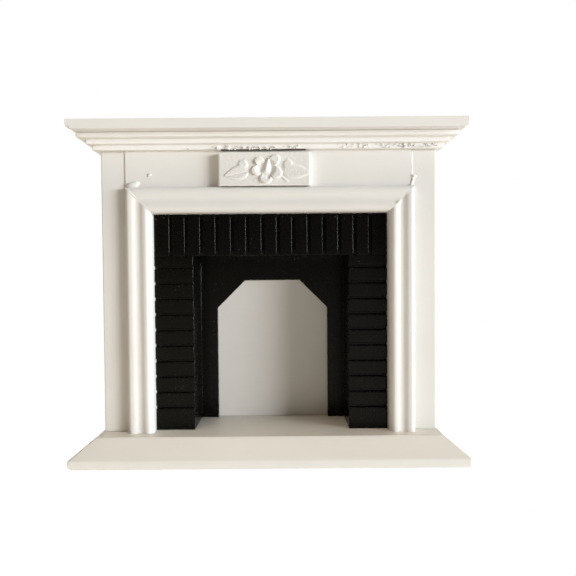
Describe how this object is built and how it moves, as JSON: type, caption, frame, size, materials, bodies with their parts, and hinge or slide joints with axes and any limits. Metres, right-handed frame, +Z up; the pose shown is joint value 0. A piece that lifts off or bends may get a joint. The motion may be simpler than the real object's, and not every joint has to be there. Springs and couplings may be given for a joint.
{
  "type": "miniature fireplace mantel",
  "caption": "White dolls' house fireplace: stepped shelf, carved plaque, moulded surround, and a recessed hearth of black brick-effect blocks behind a bevelled plinth.",
  "frame": {"origin": "bottom centre of the whole object's bounding box, on the surface it stands on", "axes": "+X to the viewer's right when facing the hearth, +Y from the front to the back, +Z up"},
  "size_m": [0.1154, 0.0324, 0.1],
  "materials": {
    "white_paint": "wood brushed with satin white paint",
    "black_paint": "wood with satin black paint"
  },
  "bodies": {
    "root": {"base_board": "white_paint", "left_side_board": "white_paint", "right_side_board": "white_paint", "back_board": "white_paint", "frieze_board": "white_paint", "left_stile": "white_paint", "right_stile": "white_paint", "mantel_shelf": "white_paint", "plinth_front": "white_paint", "plinth_left": "white_paint", "plinth_right": "white_paint", "crown_front": "white_paint", "crown_left": "white_paint", "crown_right": "white_paint", "surround_head": "white_paint", "surround_left_leg": "white_paint", "surround_right_leg": "white_paint", "carved_plaque": "white_paint", "brick_column_left": "black_paint", "brick_column_right": "black_paint", "brick_lintel": "black_paint", "arch_panel": "black_paint"}
  },
  "joints": []
}
